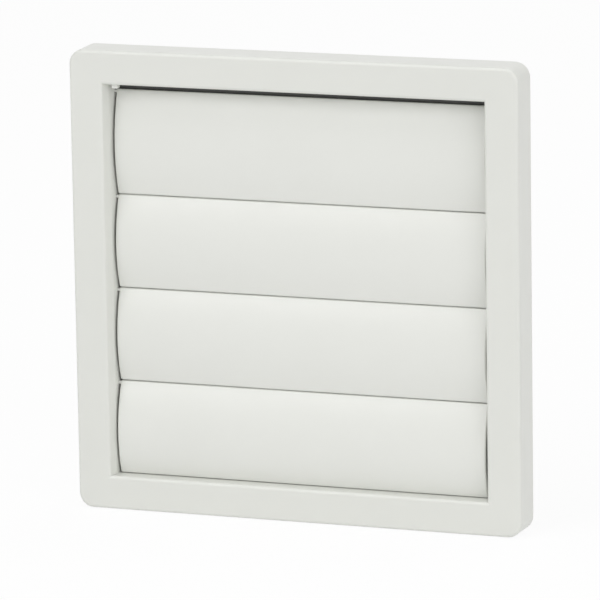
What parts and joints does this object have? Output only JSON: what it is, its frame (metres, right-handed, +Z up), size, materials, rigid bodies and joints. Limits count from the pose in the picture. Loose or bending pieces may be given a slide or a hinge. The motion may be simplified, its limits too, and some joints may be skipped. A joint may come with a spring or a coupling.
{
  "type": "flap vent",
  "caption": "Square wall vent: flat border frame with a round duct spigot behind, and curved gravity flaps hinged one below another that hang shut and lift in an air stream.",
  "frame": {"origin": "on the duct axis, in the plane of the wall behind the frame", "axes": "+X to the right seen from outside, +Y into the wall along the duct, +Z up"},
  "size_m": [0.14, 0.0392, 0.14],
  "materials": {
    "frame_plastic": "satin moulded, off-white",
    "flap_plastic": "satin moulded, off-white"
  },
  "bodies": {
    "frame": {"frame": "frame_plastic"},
    "top_flap": {"top_flap": "flap_plastic"},
    "second_flap": {"second_flap": "flap_plastic"},
    "third_flap": {"third_flap": "flap_plastic"},
    "bottom_flap": {"bottom_flap": "flap_plastic"}
  },
  "joints": [
    {"name": "top_flap_hinge", "type": "hinge", "parent": "frame", "child": "top_flap", "pos_m": [0, -0.0024, 0.05635], "axis": [-1, 0, 0], "range_deg": [0, 80]},
    {"name": "second_flap_hinge", "type": "hinge", "parent": "frame", "child": "second_flap", "pos_m": [0, -0.00312, 0.02453], "axis": [-1, 0, 0], "range_deg": [0, 80]},
    {"name": "third_flap_hinge", "type": "hinge", "parent": "frame", "child": "third_flap", "pos_m": [0, -0.00377, -0.0038], "axis": [-1, 0, 0], "range_deg": [0, 80]},
    {"name": "bottom_flap_hinge", "type": "hinge", "parent": "frame", "child": "bottom_flap", "pos_m": [0, -0.00441, -0.03213], "axis": [-1, 0, 0], "range_deg": [0, 80]}
  ]
}
